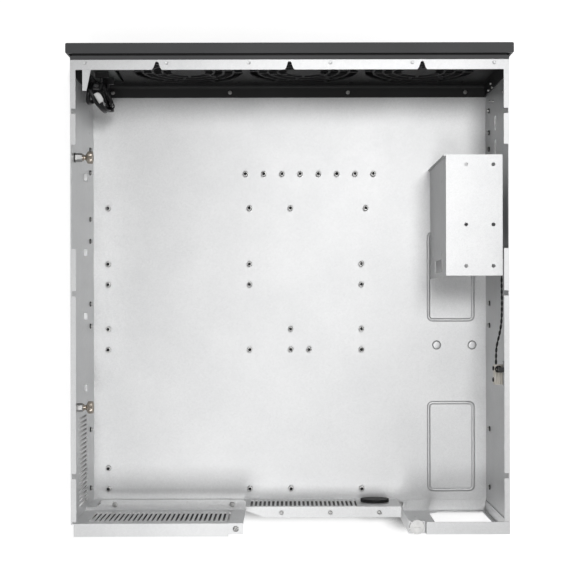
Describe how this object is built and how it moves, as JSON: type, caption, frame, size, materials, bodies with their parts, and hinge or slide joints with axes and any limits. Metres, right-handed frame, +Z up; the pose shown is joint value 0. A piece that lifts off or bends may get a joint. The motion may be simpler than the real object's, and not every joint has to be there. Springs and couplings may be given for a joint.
{
  "type": "rackmount pc case",
  "caption": "Open rackmount computer case: galvanised tray with fan-guard front wall, charcoal bezel, drive cage, motherboard standoffs and vented rear panels.",
  "frame": {"origin": "centre of the case's plan at the underside", "axes": "+Z up, -Y towards the bezel, +Y towards the rear panels, +X towards the motherboard's I/O side"},
  "size_m": [0.4494, 0.495, 0.176],
  "materials": {
    "galvanised": "satin",
    "black_steel": "matte",
    "charcoal": "matte",
    "black_plastic": "matte",
    "clear_plastic": "gloss",
    "nickel": "polished",
    "bronze_nickel": "satin",
    "board": "satin",
    "black_rubber": "matte",
    "beige_plastic": "satin",
    "black_jacket": "satin",
    "white_tag": "matte"
  },
  "bodies": {
    "case": {"floor_pan": "galvanised", "side_panel_io": "galvanised", "side_panel_psu": "galvanised", "front_wall": "black_steel", "front_trim": "charcoal", "top_rail": "galvanised", "harness_hook": "galvanised", "bezel_frame": "charcoal", "bezel_grille": "black_steel", "indicator_pipes": "clear_plastic", "usb_shells": "nickel", "usb_tongues": "black_plastic", "front_board": "board", "push_switches": "black_plastic", "board_headers": "black_plastic", "rear_lower_panel": "galvanised", "rear_fan_plate": "galvanised", "psu_panel": "galvanised", "cable_grommet": "black_rubber", "drive_cage": "galvanised", "standoffs": "nickel", "wall_bushings": "nickel", "switch_bracket": "galvanised", "intrusion_switch": "beige_plastic", "usb_lead": "black_jacket", "usb_lead_plug": "black_plastic", "panel_lead": "black_jacket", "panel_lead_plug": "black_plastic", "lead_tag": "white_tag", "intrusion_lead": "black_jacket", "intrusion_lead_plug": "black_plastic"},
    "power_button": {"power_button": "black_plastic"},
    "reset_button": {"reset_button": "black_plastic"},
    "intrusion_plunger": {"intrusion_plunger": "black_plastic"},
    "wall_knob_front": {"wall_knob_front": "bronze_nickel"},
    "wall_knob_rear": {"wall_knob_rear": "bronze_nickel"},
    "psu_thumbscrew": {"psu_thumbscrew": "nickel"}
  },
  "joints": [
    {"name": "power_press", "type": "slide", "parent": "case", "child": "power_button", "axis": [0, 1, 0], "range_m": [0, 0.0015], "stiffness_N_per_m": 400},
    {"name": "reset_press", "type": "slide", "parent": "case", "child": "reset_button", "axis": [0, 1, 0], "range_m": [0, 0.0015], "stiffness_N_per_m": 300},
    {"name": "intrusion_press", "type": "slide", "parent": "case", "child": "intrusion_plunger", "axis": [0, 0, -1], "range_m": [0, 0.003], "stiffness_N_per_m": 150},
    {"name": "front_knob_turn", "type": "hinge", "parent": "case", "child": "wall_knob_front", "pos_m": [0.2, -0.1348, 0.1524], "axis": [1, 0, 0], "continuous": true},
    {"name": "rear_knob_turn", "type": "hinge", "parent": "case", "child": "wall_knob_rear", "pos_m": [0.2, 0.1193, 0.1524], "axis": [1, 0, 0], "continuous": true},
    {"name": "thumbscrew_turn", "type": "hinge", "parent": "case", "child": "psu_thumbscrew", "pos_m": [-0.1268, 0.2384, 0.172], "axis": [0, 0, 1], "continuous": true}
  ]
}
